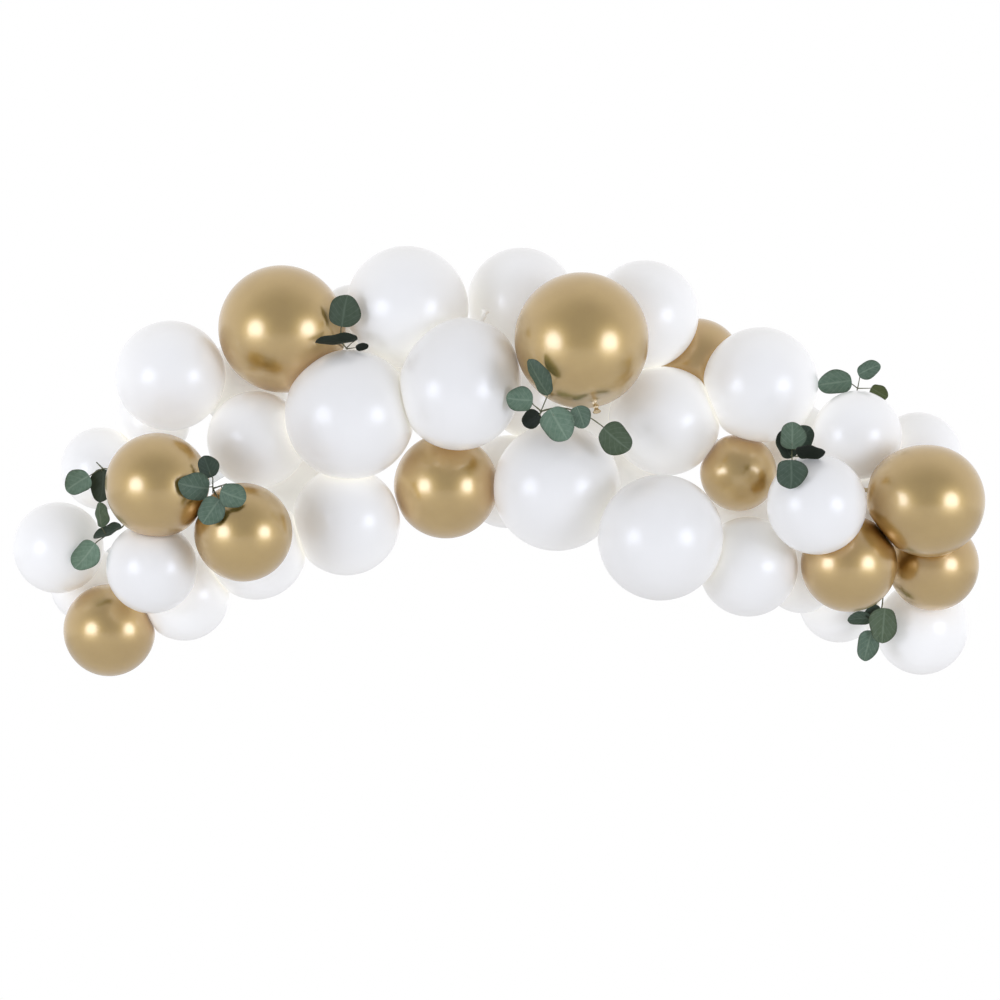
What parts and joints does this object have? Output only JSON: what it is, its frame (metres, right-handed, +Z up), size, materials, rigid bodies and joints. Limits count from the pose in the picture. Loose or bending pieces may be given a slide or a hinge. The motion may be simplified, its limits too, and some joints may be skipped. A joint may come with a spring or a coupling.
{
  "type": "balloon garland",
  "caption": "Arched wall garland of white latex and gold satin balloons on a curved clear strip, with eucalyptus sprigs tucked between them.",
  "frame": {"origin": "on the flat back of the clear strip, at the crown of its curve", "axes": "+X to the viewer's right along the garland, +Y back towards the wall, +Z up"},
  "size_m": [1.9859, 0.5331, 0.8808],
  "materials": {
    "white_latex": "smooth pearly white latex, softly glossy",
    "gold_latex": "satin metallic gold latex",
    "eucalyptus_leaf": "matt grey green leaves on thin brown stems",
    "clear_film": "clear smooth plastic strip"
  },
  "bodies": {
    "root": {"garland_strip": "clear_film", "white_balloon_01": "white_latex", "white_balloon_02": "white_latex", "white_balloon_03": "white_latex", "white_balloon_04": "white_latex", "white_balloon_05": "white_latex", "white_balloon_06": "white_latex", "white_balloon_07": "white_latex", "white_balloon_08": "white_latex", "white_balloon_09": "white_latex", "white_balloon_10": "white_latex", "white_balloon_11": "white_latex", "white_balloon_12": "white_latex", "white_balloon_13": "white_latex", "white_balloon_14": "white_latex", "white_balloon_15": "white_latex", "white_balloon_16": "white_latex", "white_balloon_17": "white_latex", "white_balloon_18": "white_latex", "white_balloon_19": "white_latex", "white_balloon_20": "white_latex", "white_balloon_21": "white_latex", "white_balloon_22": "white_latex", "white_balloon_23": "white_latex", "white_balloon_24": "white_latex", "white_balloon_25": "white_latex", "white_balloon_26": "white_latex", "white_balloon_27": "white_latex", "white_balloon_28": "white_latex", "white_balloon_29": "white_latex", "white_balloon_30": "white_latex", "white_balloon_31": "white_latex", "white_balloon_32": "white_latex", "white_balloon_33": "white_latex", "white_balloon_34": "white_latex", "white_balloon_35": "white_latex", "white_balloon_36": "white_latex", "white_balloon_37": "white_latex", "white_balloon_38": "white_latex", "gold_balloon_01": "gold_latex", "gold_balloon_02": "gold_latex", "gold_balloon_03": "gold_latex", "gold_balloon_04": "gold_latex", "gold_balloon_05": "gold_latex", "gold_balloon_06": "gold_latex", "gold_balloon_07": "gold_latex", "gold_balloon_08": "gold_latex", "gold_balloon_09": "gold_latex", "gold_balloon_10": "gold_latex", "gold_balloon_11": "gold_latex", "eucalyptus_sprig_left": "eucalyptus_leaf", "eucalyptus_sprig_left_middle": "eucalyptus_leaf", "eucalyptus_sprig_upper_left": "eucalyptus_leaf", "eucalyptus_sprig_centre": "eucalyptus_leaf", "eucalyptus_sprig_right_middle": "eucalyptus_leaf", "eucalyptus_sprig_top_right": "eucalyptus_leaf", "eucalyptus_sprig_bottom_right": "eucalyptus_leaf"}
  },
  "joints": []
}
